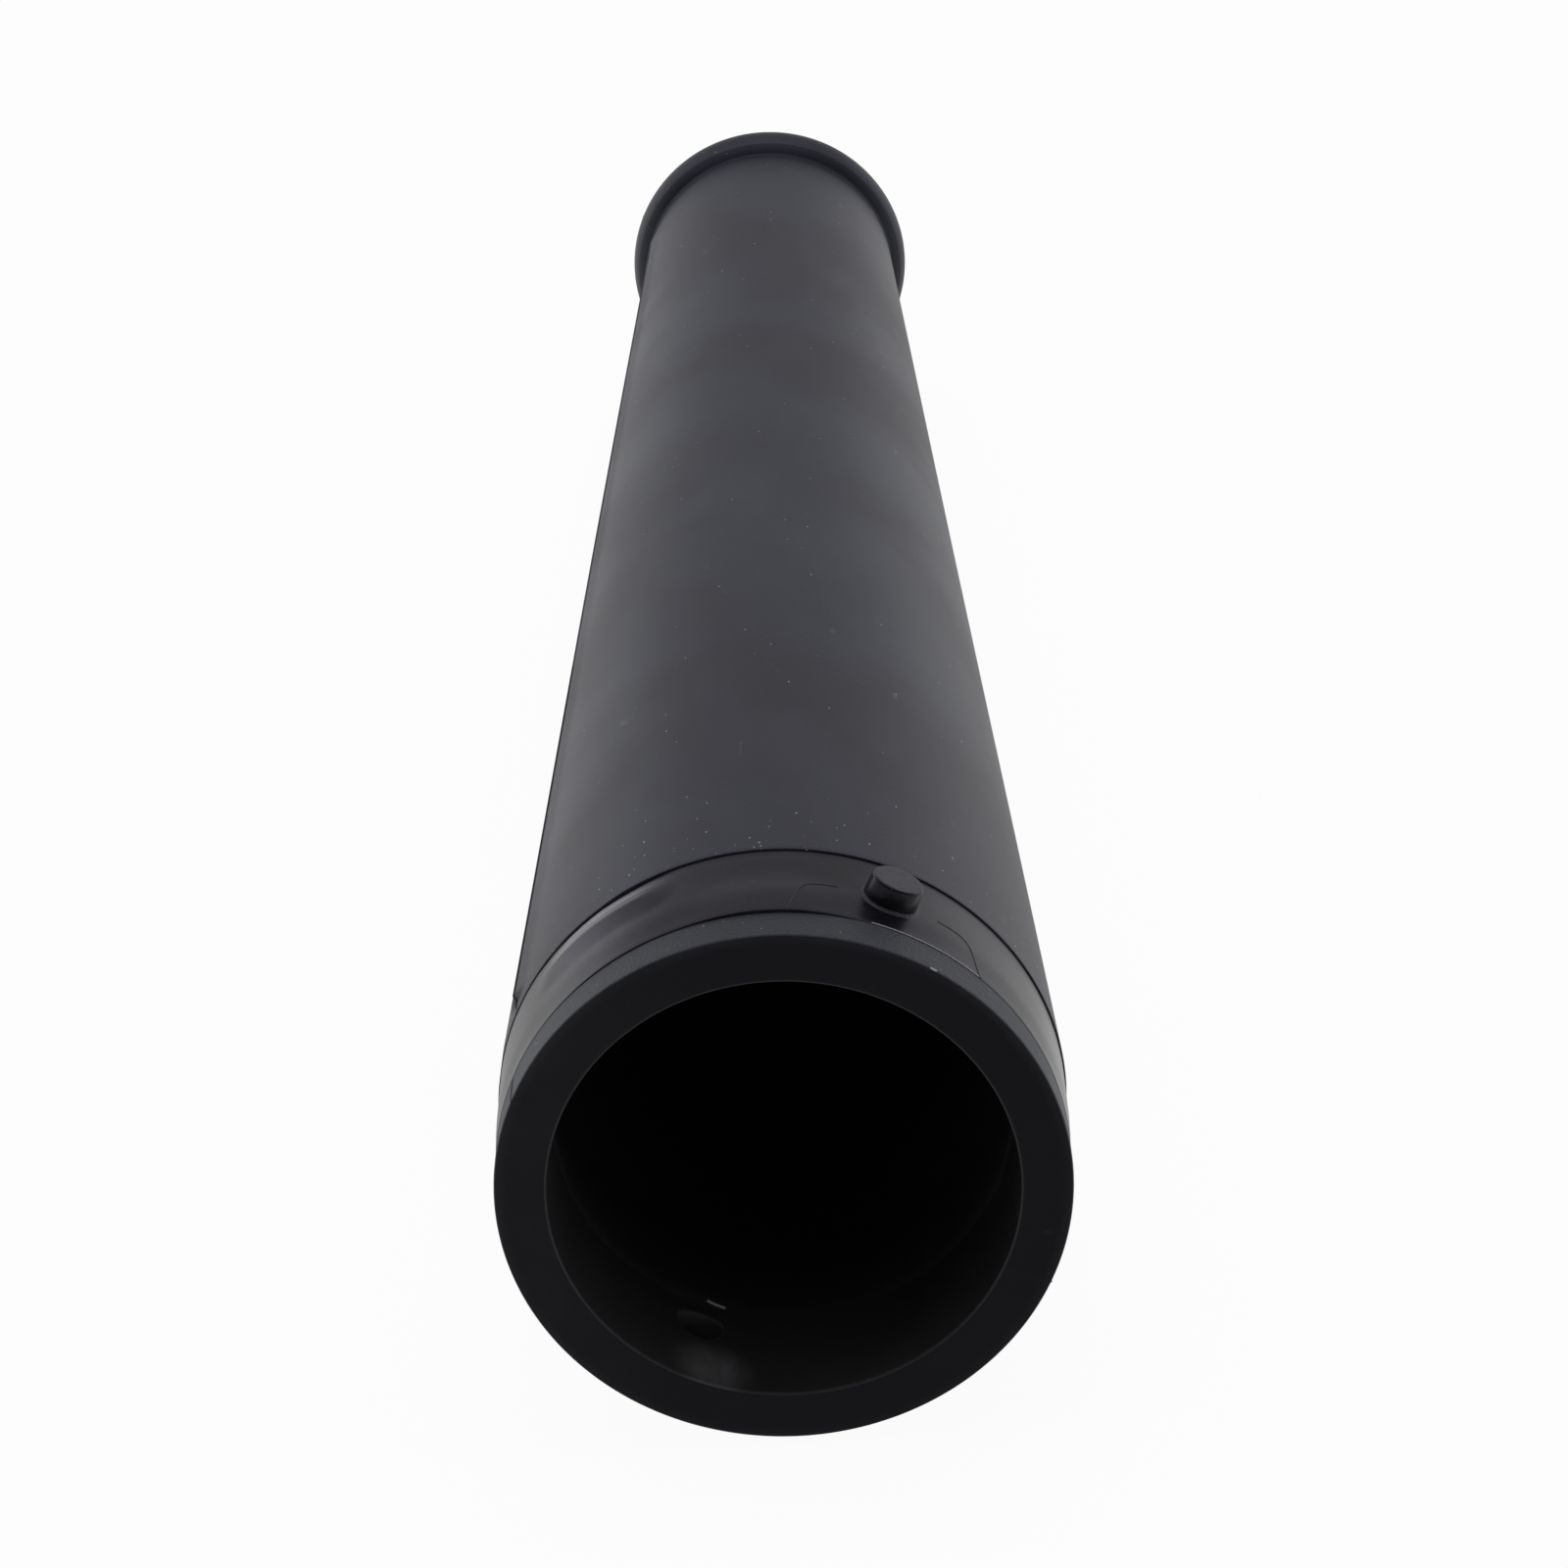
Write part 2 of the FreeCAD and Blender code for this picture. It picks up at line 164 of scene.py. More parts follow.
def resting_place():
    """Where the tube lies: its own Y along the axis to the outlet, its own Z through the upper peg."""
    axis = Vector(mount("outlet_bead")["axis"]).normalized()
    peg = Vector(mount("bayonet_peg")["axis"]).normalized()
    collar_middle = Vector(mount("bayonet_collar")["pos_m"])
    face = collar_middle - axis * COLLAR_MOUNT_STATION
    turn = Matrix((axis.cross(peg), axis, peg)).transposed()
    return Matrix.Translation(face) @ turn.to_4x4()


REST = resting_place()


# Section of the wall: points of radius and station.

def straight(start, end, pieces):
    """Evenly spaced points after the start."""
    return [start.lerp(end, step / pieces) for step in range(1, pieces + 1)]


def arc(centre, start, turn, pieces):
    """Points round an arc, after its start."""
    arm = start - centre
    return [centre + Matrix.Rotation(turn * step / pieces, 2) @ arm for step in range(1, pieces + 1)]


def rounded(before, corner, after, radius, pieces):
    """Points of a corner rounded to a radius."""
    back = (before - corner).normalized()
    ahead = (after - corner).normalized()
    half = back.angle(ahead) / 2
    start = corner + back * (radius / math.tan(half))
    centre = corner + (back + ahead).normalized() * (radius / math.sin(half))
    turn = math.pi - 2 * half
    if back.cross(ahead) > 0:
        turn = -turn
    return [start] + arc(centre, start, turn, pieces)


def bead_arcs(body_front, body_tip):
    """Hollow and bead at the end of the body, after the body's last point."""
    along = (body_tip - body_front).normalized()
    outward = Vector((along.y, -along.x))
    bead = Vector((BEAD_RADIUS - BEAD_ROUND, TUBE_LENGTH - BEAD_LIP))
    rise = BEAD_FILLET - (bead - body_front).dot(outward)
    reach = BEAD_FILLET + BEAD_ROUND
    run = (bead - body_front).dot(along) - math.sqrt(reach ** 2 - rise ** 2)
    body_end = body_front + along * run
    hollow = body_end + outward * BEAD_FILLET
    meeting = bead + (hollow - bead) * (BEAD_ROUND / reach)
    lip = bead + Vector((math.sqrt(BEAD_ROUND ** 2 - BEAD_LIP ** 2), BEAD_LIP))
    hollow_turn = (body_end - hollow).angle(meeting - hollow)
    bead_turn = (meeting - bead).angle(lip - bead)
    arcs = arc(hollow, body_end, -hollow_turn, pieces=12) + arc(bead, meeting, bead_turn, pieces=28)
    return body_end, arcs


def wall_section():
    """From the mouth over the end face, the collar, the band and the body, and back through the duct."""
    mouth = Vector((MOUTH_RADIUS, 0))
    collar_edge = Vector((COLLAR_RADIUS, 0))
    collar_end = Vector((COLLAR_RADIUS, COLLAR_LENGTH))
    band_front = Vector((BAND_FRONT_RADIUS, COLLAR_LENGTH))
    band_rear = Vector((BAND_REAR_RADIUS, BAND_END))
    body_front = Vector((BODY_FRONT_RADIUS, BAND_END))
    body_tip = Vector((BODY_TIP_RADIUS, TUBE_LENGTH - BEAD_LIP))
    slope = (body_tip.x - body_front.x) / (body_tip.y - body_front.y)
    duct_front = Vector((BODY_FRONT_RADIUS - WALL + slope * (FLARE_END - BAND_END), FLARE_END))
    outlet = Vector((BODY_TIP_RADIUS - WALL + slope * BEAD_LIP, TUBE_LENGTH))
    neck_end = Vector((MOUTH_RADIUS, NECK_LENGTH))
    body_end, bead = bead_arcs(body_front, body_tip)

    band_patch = math.pi / COLUMNS * PATCH_CELLS * BAND_FRONT_RADIUS
    band_draft = (BAND_REAR_RADIUS - BAND_FRONT_RADIUS) / (BAND_END - COLLAR_LENGTH)
    patch_front = band_front + Vector((band_draft, 1)) * (PEG_STATION - band_patch - COLLAR_LENGTH)
    patch_rear = band_front + Vector((band_draft, 1)) * (PEG_STATION + band_patch - COLLAR_LENGTH)
    bore_patch = math.pi / COLUMNS * PATCH_CELLS * MOUTH_RADIUS
    bore_rear = Vector((MOUTH_RADIUS, PEG_STATION + bore_patch))
    bore_front = Vector((MOUTH_RADIUS, PEG_STATION - bore_patch))

    path = rounded(neck_end, mouth, collar_edge, MOUTH_ROUND, pieces=6)
    face_end = rounded(mouth, collar_edge, collar_end, COLLAR_EDGE, pieces=8)
    path += straight(path[-1], face_end[0], pieces=8) + face_end[1:]
    path += straight(path[-1], collar_end, pieces=6)
    path += rounded(collar_end, band_front, band_rear, STEP_ROUND, pieces=4)
    path += straight(path[-1], patch_front, pieces=4)
    path += straight(patch_front, patch_rear, PATCH_CELLS)
    path += straight(patch_rear, band_rear, pieces=12)
    path += rounded(band_rear, body_front, body_tip, STEP_ROUND, pieces=4)
    path += straight(path[-1], path[-1].lerp(body_end, 0.02), pieces=8)
    path += straight(path[-1], body_end, pieces=40) + bead
    outlet_edge = rounded(path[-1], outlet, duct_front, OUTLET_ROUND, pieces=6)
    path += straight(path[-1], outlet_edge[0], pieces=3) + outlet_edge[1:]
    duct_blend = rounded(outlet, duct_front, neck_end, FLARE_ROUND, pieces=6)
    path += straight(path[-1], duct_blend[0], pieces=24) + duct_blend[1:]
    neck_blend = rounded(duct_front, neck_end, mouth, FLARE_ROUND, pieces=6)
    path += straight(path[-1], neck_blend[0], pieces=6) + neck_blend[1:]
    path += straight(path[-1], bore_rear, pieces=8)
    path += straight(bore_rear, bore_front, PATCH_CELLS)
    path += straight(bore_front, path[0], pieces=8)
    return path


# Modelling steps.

def start_piece(name):
    """A new mesh object of one vertex, open in edit mode."""
    bpy.ops.object.select_all(action="DESELECT")
    bpy.ops.mesh.primitive_plane_add(size=MM)
    piece = bpy.context.object
    piece.name = name
    bpy.ops.object.mode_set(mode="EDIT")
    bpy.ops.mesh.select_mode(type="VERT")
    bpy.ops.mesh.select_all(action="SELECT")
    bpy.ops.mesh.merge(type="CENTER")
    return piece


def choose(piece, kind, wanted):
    """Select only the vertices or faces of the open mesh that a test picks out."""
    bpy.ops.mesh.select_all(action="DESELECT")
    mesh = bmesh.from_edit_mesh(piece.data)
    for element in getattr(mesh, kind):
        if wanted(element):
            element.select_set(True)
    mesh.select_flush_mode()
    bmesh.update_edit_mesh(piece.data)


def from_axis(place):
    """Distance from the tube's axis."""
    return math.hypot(place.x, place.z)


def outward_at(degrees):
    """The way out from the axis at an angle from the upper peg."""
    angle = math.radians(degrees)
    return Vector((math.sin(angle), 0, math.cos(angle)))


def extrude_path(points):
    """Carry the lone vertex at the origin to the first point and extrude it along the others."""
    bpy.ops.transform.translate(value=points[0])
    for place, point in zip(points, points[1:]):
        bpy.ops.mesh.extrude_vertices_move(TRANSFORM_OT_translate={"value": point - place})


def spin_wall():
    """Draw the section by extruding the vertex along it, and spin it round the axis."""
    extrude_path([point.to_3d() for point in wall_section()])
    bpy.ops.mesh.select_all(action="SELECT")
    bpy.ops.mesh.spin(steps=COLUMNS, angle=2 * math.pi, center=(0, 0, 0), axis=(0, 1, 0))
    bpy.ops.mesh.select_all(action="SELECT")
    bpy.ops.mesh.remove_doubles(threshold=0.002 * MM)
    bpy.ops.mesh.normals_make_consistent(inside=False)


def raise_parting_flash(piece):
    """Flash left where the two halves of the mould met, at right angles to the pegs."""
    for level in (-FLASH_HALF_WIDTH, FLASH_HALF_WIDTH):
        bpy.ops.mesh.select_all(action="SELECT")
        bpy.ops.mesh.bisect(plane_co=(0, 0, level), plane_no=(0, 0, 1), threshold=0.001 * MM)

    def on_parting(vertex):
        return abs(vertex.co.z) < TOUCH

    def on_outside(vertex):
        outside = vertex.normal.x * vertex.co.x > 0
        return on_parting(vertex) and outside and vertex.co.y > BODY_FLASH_START

    def on_body(vertex):
        return on_outside(vertex) and vertex.co.y < BODY_FREE_END

    def on_bead(vertex):
        return on_outside(vertex) and vertex.co.y > BEAD_FLASH_START

    def on_collar(vertex):
        outside = abs(vertex.co.x) > COLLAR_RADIUS - 0.1 * MM
        return on_parting(vertex) and outside and vertex.co.y < COLLAR_LENGTH

    def on_face(vertex):
        return on_parting(vertex) and vertex.co.y < TOUCH

    for wanted, height in ((on_body, BODY_FLASH), (on_bead, BEAD_FLASH), (on_collar, COLLAR_FLASH),
                           (on_face, FACE_FLASH)):
        choose(piece, "verts", wanted)
        bpy.ops.transform.shrink_fatten(value=height)


def pull(move, reach):
    """Move the selection and, less and less, what lies around it."""
    bpy.ops.transform.translate(value=move, use_proportional_edit=True, proportional_size=reach,
                                proportional_edit_falloff="SMOOTH")


def swell(station, share, reach, falloff):
    """Scale the selection about the axis and, less and less, what lies around it."""
    bpy.ops.transform.resize(value=(share, 1, share), center_override=(0, station, 0),
                             use_proportional_edit=True, proportional_size=reach,
                             proportional_edit_falloff=falloff)


def keep_shown(piece, wanted):
    """Hide every vertex that a pull should leave alone."""
    choose(piece, "verts", lambda vertex: not wanted(vertex))
    bpy.ops.mesh.hide()


def settle_body(piece):
    """A blown tube cools unevenly: the body swells at the parting and bows a little to one side."""
    body_middle = (BAND_END + TUBE_LENGTH) / 2

    def on_outside(vertex):
        outward = vertex.normal.x * vertex.co.x + vertex.normal.z * vertex.co.z
        return outward > 0 and BODY_FREE_START < vertex.co.y < BODY_FREE_END

    for side in (1, -1):
        keep_shown(piece, on_outside)
        choose(piece, "verts", lambda vertex: vertex.co.x * side > 0 and abs(vertex.co.z) < TOUCH)
        pull((side * PARTING_SWELL, 0, 0), PARTING_SWELL_REACH)
        bpy.ops.mesh.reveal(select=False)
    keep_shown(piece, lambda vertex: vertex.co.y > BODY_FREE_START)
    choose(piece, "verts", lambda vertex: abs(vertex.co.y - body_middle) < BOW_HALF_LENGTH)
    pull((-BOW, 0, 0), body_middle - BAND_END)
    bpy.ops.mesh.reveal(select=False)


def settle_band(piece):
    """The step up to the band is nearly lost at the sides and highest left of the upper peg."""
    def on_band(vertex):
        in_front = COLLAR_LENGTH - TOUCH < vertex.co.y < BAND_END - 4 * MM
        return in_front and from_axis(vertex.co) > COLLAR_RADIUS + 0.1 * MM

    def on_front(vertex):
        return vertex.co.y < COLLAR_LENGTH + 1.5 * STEP_ROUND

    keep_shown(piece, on_band)
    choose(piece, "verts", on_front)
    swell(COLLAR_LENGTH, 1 - BAND_SINK / BAND_FRONT_RADIUS, BAND_SINK_REACH, "SMOOTH")
    for degrees, rise, reach in BAND_LIFTS:
        outward = outward_at(degrees)
        spread = math.radians(BAND_LIFT_SPREAD)
        choose(piece, "verts", lambda vertex: on_front(vertex) and vertex.co.angle(outward) < spread)
        pull(outward * rise, reach)
    bpy.ops.mesh.reveal(select=False)


def settle_groove(piece):
    """Left of the upper peg the band is crowned, and band and body fall away to the line between."""
    def move_ring(on_surface, station, degrees, spread, rise, reach):
        outward = outward_at(degrees)

        def in_ring(vertex):
            flat = Vector((vertex.co.x, 0, vertex.co.z))
            on_ring = on_surface(vertex) and abs(vertex.co.y - station) < 0.2 * MM
            return on_ring and flat.angle(outward) < math.radians(spread)

        keep_shown(piece, on_surface)
        choose(piece, "verts", in_ring)
        swell(station, 1 + rise / BODY_FRONT_RADIUS, reach, "LINEAR")
        bpy.ops.mesh.reveal(select=False)

    def on_band(vertex):
        behind_collar = COLLAR_LENGTH + 2 * MM < vertex.co.y < BAND_END + TOUCH
        return behind_collar and COLLAR_RADIUS < from_axis(vertex.co) < BAND_REAR_RADIUS + 0.2 * MM

    def on_body(vertex):
        behind_band = BAND_END - TOUCH < vertex.co.y < FLARE_END
        return behind_band and from_axis(vertex.co) > BAND_REAR_RADIUS - 2 * MM

    move_ring(on_band, BAND_END - BAND_CROWN[3], *BAND_CROWN)
    move_ring(on_band, BAND_END, *BAND_FALL)
    move_ring(on_body, BAND_END, *BODY_FALL)


def open_patch(piece, side, radius):
    """Take a square patch of the wall away round a peg's axis."""
    half_width = math.pi / COLUMNS * PATCH_CELLS * radius
    slack = 0.3 * MM

    def in_patch(face):
        centre = face.calc_center_median()
        on_wall = centre.z * side > 0 and abs(from_axis(centre) - radius) < slack
        across = abs(centre.x) < half_width
        beside = abs(centre.y - PEG_STATION) < half_width
        return on_wall and across and beside

    choose(piece, "faces", in_patch)
    bpy.ops.mesh.delete(type="FACE")


def choose_open_rings():
    """Select the open edges of the mesh and the loose rings."""
    bpy.ops.mesh.select_all(action="DESELECT")
    bpy.ops.mesh.select_mode(type="EDGE")
    bpy.ops.mesh.select_non_manifold(use_wire=True, use_boundary=True, use_multi_face=False,
                                     use_non_contiguous=False, use_verts=False)


def ring_on_wall(piece, side, ring_radius, wall_radius):
    """Join a round ring that lies on the wall to the open patch, and leave the ring selected."""
    bpy.ops.mesh.select_all(action="DESELECT")
    bpy.ops.mesh.primitive_circle_add(vertices=PEG_SIDES, radius=ring_radius, location=(0, PEG_STATION, 0))
    mesh = bmesh.from_edit_mesh(piece.data)
    for vertex in mesh.verts:
        if vertex.select:
            vertex.co.z = side * math.sqrt(wall_radius(vertex.co.y) ** 2 - vertex.co.x ** 2)
    bmesh.update_edit_mesh(piece.data)
    choose_open_rings()
    bpy.ops.mesh.bridge_edge_loops()
    choose_open_rings()


def carry_ring(side, rise, ring_radius, new_radius, level=None):
    """Extrude the selected ring outwards to a new radius and, where asked, lay it flat on a level."""
    bpy.ops.mesh.extrude_edges_move(TRANSFORM_OT_translate={"value": (0, 0, side * rise)})
    share = new_radius / ring_radius
    bpy.ops.transform.resize(value=(share, share, 1), center_override=(0, PEG_STATION, 0))
    if level is not None:
        bpy.ops.transform.resize(value=(1, 1, 0), center_override=(0, PEG_STATION, side * level))
    return new_radius


def turn_out(side, radius, side_foot, fillet):
    """Carry the ring round the fillet between the wall and a peg's or hollow's side."""
    height = 0
    for step in range(1, ROUND_PIECES + 1):
        angle = math.pi / 2 * step / ROUND_PIECES
        new_height = fillet * (1 - math.cos(angle))
        new_radius = side_foot + fillet * (1 - math.sin(angle))
        radius = carry_ring(side, new_height - height, radius, new_radius)
        height = new_height
    return radius


def close_over(side, radius, shoulder, rounding, end_rings):
    """Carry the ring over the rounded edge at the end of a side, and close the flat end."""
    side_radius = radius
    for step in range(1, ROUND_PIECES + 1):
        angle = math.pi / 2 * step / ROUND_PIECES
        new_radius = side_radius - rounding * (1 - math.cos(angle))
        radius = carry_ring(side, MM, radius, new_radius, shoulder + rounding * math.sin(angle))
    for end_radius in end_rings:
        radius = carry_ring(side, 0, radius, end_radius)
    bpy.ops.mesh.edge_face_add()


def band_radius(station):
    """Radius of the tapered band."""
    share = (station - COLLAR_LENGTH) / (BAND_END - COLLAR_LENGTH)
    return BAND_FRONT_RADIUS + share * (BAND_REAR_RADIUS - BAND_FRONT_RADIUS)


def raise_peg(piece, side):
    """A bayonet peg: filleted foot, drafted side, rounded top edge and flat top."""
    open_patch(piece, side, band_radius(PEG_STATION))
    foot_level = band_radius(PEG_STATION)
    side_foot = PEG_TOP_RADIUS + (PEG_TOP - foot_level) * math.tan(PEG_DRAFT)
    radius = side_foot + PEG_FILLET
    ring_on_wall(piece, side, radius, band_radius)
    radius = turn_out(side, radius, side_foot, PEG_FILLET)
    shoulder = PEG_TOP - PEG_ROUND
    shoulder_radius = PEG_TOP_RADIUS + PEG_ROUND * math.tan(PEG_DRAFT)
    for share in PEG_SIDE_SHARES:
        side_radius = side_foot + (shoulder_radius - side_foot) * share
        level = foot_level + PEG_FILLET + (shoulder - foot_level - PEG_FILLET) * share
        radius = carry_ring(side, MM, radius, side_radius, level)
    radius = carry_ring(side, MM, radius, shoulder_radius, shoulder)
    end_rings = [share * PEG_TOP_RADIUS for share in PEG_TOP_SHARES]
    close_over(side, radius, shoulder, PEG_ROUND, end_rings)


def sink_hollow(piece, side):
    """The blown hollow behind a peg, entered from the bore."""
    open_patch(piece, side, MOUTH_RADIUS)
    side_foot = HOLLOW_RADIUS + (HOLLOW_END - MOUTH_RADIUS) * math.tan(PEG_DRAFT)
    radius = side_foot + HOLLOW_ROUND
    ring_on_wall(piece, side, radius, lambda station: MOUTH_RADIUS)
    radius = turn_out(side, radius, side_foot, HOLLOW_ROUND)
    closed = HOLLOW_END - HOLLOW_ROUND
    radius = carry_ring(side, MM, radius, (radius + HOLLOW_RADIUS) / 2, (MOUTH_RADIUS + closed) / 2)
    radius = carry_ring(side, MM, radius, HOLLOW_RADIUS, closed)
    end_rings = [share * HOLLOW_RADIUS for share in HOLLOW_END_SHARES]
    close_over(side, radius, closed, HOLLOW_ROUND, end_rings)


def draw_out_hollow(piece, side):
    """The hollow's edge is drawn out into a shallow trough towards the duct."""
    def on_bore(vertex):
        return vertex.co.z * side > 0 and abs(from_axis(vertex.co) - MOUTH_RADIUS) < 0.02 * MM

    def behind_hollow(vertex):
        along = abs(vertex.co.y - TROUGH_STATION) < 0.5 * MM
        return along and abs(vertex.co.x) < TROUGH_HALF_WIDTH

    keep_shown(piece, on_bore)
    choose(piece, "verts", lambda vertex: on_bore(vertex) and behind_hollow(vertex))
    pull((0, 0, side * TROUGH_DEPTH), TROUGH_REACH)
    bpy.ops.mesh.reveal(select=False)


def draw_line(tube, path, side, mirror, wall_radius, line_round):
    """A raised line on the wall, along points of station and angle."""
    line = start_piece("raised_line")
    points = []
    for station, degrees in path:
        angle = math.radians(degrees) * mirror
        height = side * math.cos(angle) * wall_radius
        points.append(Vector((math.sin(angle) * wall_radius, station * MM, height)))
    extrude_path(points)
    bpy.ops.mesh.select_all(action="SELECT")
    bpy.ops.mesh.subdivide(number_cuts=2)
    bpy.ops.object.mode_set(mode="OBJECT")
    wrap = line.modifiers.new("on_wall", "SHRINKWRAP")
    wrap.target = tube
    bpy.ops.object.modifier_apply(modifier=wrap.name)
    bpy.ops.object.convert(target="CURVE")
    line.data.bevel_depth = line_round
    line.data.bevel_resolution = 1
    line.data.use_fill_caps = True
    bpy.ops.object.convert(target="MESH")
    return bpy.context.object


def draw_lines(tube, made):
    """Witness lines of the pegs' inserts, a fold behind the lower hollow and a pale speck on the collar's
    front edge; the front witness lines and the fold are pale as painted glints.
    """
    plan = [(COLLAR, WITNESS_SIDE, side, mirror, BAND_FRONT_RADIUS, WITNESS_ROUND)
            for side in (1, -1) for mirror in (1, -1)]
    plan += [(PALE_GLINT_AND_SPECK, WITNESS_FRONT, side, side, BAND_FRONT_RADIUS, WITNESS_FRONT_ROUND)
             for side in (1, -1)]
    plan += [(PALE_GLINT_AND_SPECK, FOLD, -1, 1, MOUTH_RADIUS, FOLD_ROUND),
             (PALE_GLINT_AND_SPECK, COLLAR_SPECK, 1, 1, COLLAR_RADIUS, COLLAR_SPECK_ROUND)]
    lines = []
    for look, *shape in plan:
        line = draw_line(tube, *shape)
        line.data.materials.append(made[look])
        lines.append(line)
    return lines


def join_to(tube, others):
    """Make the other objects part of the tube's mesh."""
    bpy.ops.object.select_all(action="DESELECT")
    for other in others:
        other.select_set(True)
    tube.select_set(True)
    bpy.context.view_layer.objects.active = tube
    bpy.ops.object.join()


# Materials.

def add_node(tree, kind, **settings):
    """A node with some of its settings."""
    node = tree.nodes.new(kind)
    for name, value in settings.items():
        setattr(node, name, value)
    return node


def effect(name):
    """An empty shared effect: it takes a place on the tube and gives one value."""
    tree = bpy.data.node_groups.new(name, "ShaderNodeTree")
    tree.interface.new_socket("Place", in_out="INPUT", socket_type="NodeSocketVector")
    tree.interface.new_socket("Value", in_out="OUTPUT", socket_type="NodeSocketFloat")
    start = add_node(tree, "NodeGroupInput")
    end = add_node(tree, "NodeGroupOutput")
    return tree, start.outputs["Place"], end.inputs["Value"]


def ranged(tree, value, low, high, new_low=0.0, new_high=1.0):
    """A value carried smoothly from one range to another."""
    node = add_node(tree, "ShaderNodeMapRange", interpolation_type="SMOOTHSTEP")
    tree.links.new(value, node.inputs["Value"])
    node.inputs["From Min"].default_value = low
    node.inputs["From Max"].default_value = high
    node.inputs["To Min"].default_value = new_low
    node.inputs["To Max"].default_value = new_high
    return node.outputs["Result"]


def times(tree, first, second):
    """Product of two values, of which the second may be a plain number."""
    node = add_node(tree, "ShaderNodeMath", operation="MULTIPLY")
    for socket, value in zip(node.inputs, (first, second)):
        if isinstance(value, float):
            socket.default_value = value
        else:
            tree.links.new(value, socket)
    return node.outputs[0]


def noise(tree, place, scale, detail, stretch=(1, 1, 1)):
    """Noise of so many waves a metre, stretched where asked."""
    turned = add_node(tree, "ShaderNodeMapping")
    turned.inputs["Scale"].default_value = stretch
    tree.links.new(place, turned.inputs["Vector"])
    node = add_node(tree, "ShaderNodeTexNoise")
    node.inputs["Scale"].default_value = scale
    node.inputs["Detail"].default_value = detail
    tree.links.new(turned.outputs[0], node.inputs["Vector"])
    return node.outputs["Fac"]


def clouds_effect():
    """Broad soft patches."""
    tree, place, value = effect("clouds")
    patches = noise(tree, place, scale=22, detail=4)
    tree.links.new(ranged(tree, patches, 0.35, 0.65), value)
    return tree


def haze_effect():
    """Pale patches of handling and storage on the body."""
    tree, place, value = effect("haze")
    patches = noise(tree, place, scale=60, detail=7, stretch=(1, 0.4, 1))
    tree.links.new(ranged(tree, patches, 0.38, 0.70), value)
    return tree


def smears_effect():
    """Wiped smears that run round the tube."""
    tree, place, value = effect("smears")
    smears = noise(tree, place, scale=260, detail=3, stretch=(0.25, 1, 0.25))
    tree.links.new(ranged(tree, smears, 0.42, 0.72), value)
    return tree


def streaks_effect():
    """Thin streaks of wiping that run round the tube."""
    tree, place, value = effect("streaks")
    streaks = noise(tree, place, scale=620, detail=2, stretch=(0.06, 1, 0.06))
    tree.links.new(ranged(tree, streaks, 0.52, 0.75), value)
    return tree


def grain_effect():
    """Fine grain of the mould's surface."""
    tree, place, value = effect("grain")
    tree.links.new(ranged(tree, noise(tree, place, scale=2200, detail=2), 0.3, 0.7), value)
    return tree


def scuffs_effect():
    """Small rub marks here and there."""
    tree, place, value = effect("scuffs")
    marks = ranged(tree, noise(tree, place, scale=260, detail=3, stretch=(1, 0.35, 1)), 0.66, 0.74)
    areas = ranged(tree, noise(tree, place, scale=35, detail=2), 0.5, 0.62)
    tree.links.new(times(tree, marks, areas), value)
    return tree


# Dust: cells a metre, where it thins out behind the band, and the lot above which a cell has a speck.
DUST_CELLS = 1000
DUSTY_STATIONS = (22 * MM, 42 * MM)
DUST_CHOICE = (0.4, 0.94)


def dust_effect():
    """Specks of dust, thickest on the body close behind the band."""
    tree, place, value = effect("dust")
    cells = add_node(tree, "ShaderNodeTexVoronoi")
    cells.inputs["Scale"].default_value = DUST_CELLS
    tree.links.new(place, cells.inputs["Vector"])
    lots = add_node(tree, "ShaderNodeSeparateColor")
    tree.links.new(cells.outputs["Color"], lots.inputs[0])
    split = add_node(tree, "ShaderNodeSeparateXYZ")
    tree.links.new(place, split.inputs[0])
    settled = add_node(tree, "ShaderNodeMath", operation="SUBTRACT")
    tree.links.new(lots.outputs["Red"], settled.inputs[0])
    dusty, clean = DUSTY_STATIONS
    often, seldom = DUST_CHOICE
    tree.links.new(ranged(tree, split.outputs["Y"], dusty, clean, often, seldom), settled.inputs[1])
    chosen = ranged(tree, settled.outputs[0], 0, 0.01)
    size = ranged(tree, lots.outputs["Green"], 0.1, 1, 0.35, 1)
    reach = add_node(tree, "ShaderNodeMath", operation="DIVIDE")
    tree.links.new(cells.outputs["Distance"], reach.inputs[0])
    tree.links.new(size, reach.inputs[1])
    tree.links.new(times(tree, ranged(tree, reach.outputs[0], 0.08, 0.15, 1, 0), chosen), value)
    return tree


def painted_edge_highlight_effect():
    """Painted highlight towards the outer edge of the end face, broken up by noise."""
    tree, place, value = effect("edge_wear")
    flat = add_node(tree, "ShaderNodeVectorMath", operation="MULTIPLY")
    tree.links.new(place, flat.inputs[0])
    flat.inputs[1].default_value = (1, 0, 1)
    reach = add_node(tree, "ShaderNodeVectorMath", operation="LENGTH")
    tree.links.new(flat.outputs[0], reach.inputs[0])
    lit_rim = ranged(tree, reach.outputs["Value"], COLLAR_RADIUS - 1.6 * MM, COLLAR_RADIUS)
    broken = ranged(tree, noise(tree, place, scale=90, detail=3), 0.3, 0.6, 0.4, 1)
    tree.links.new(times(tree, lit_rim, broken), value)
    return tree


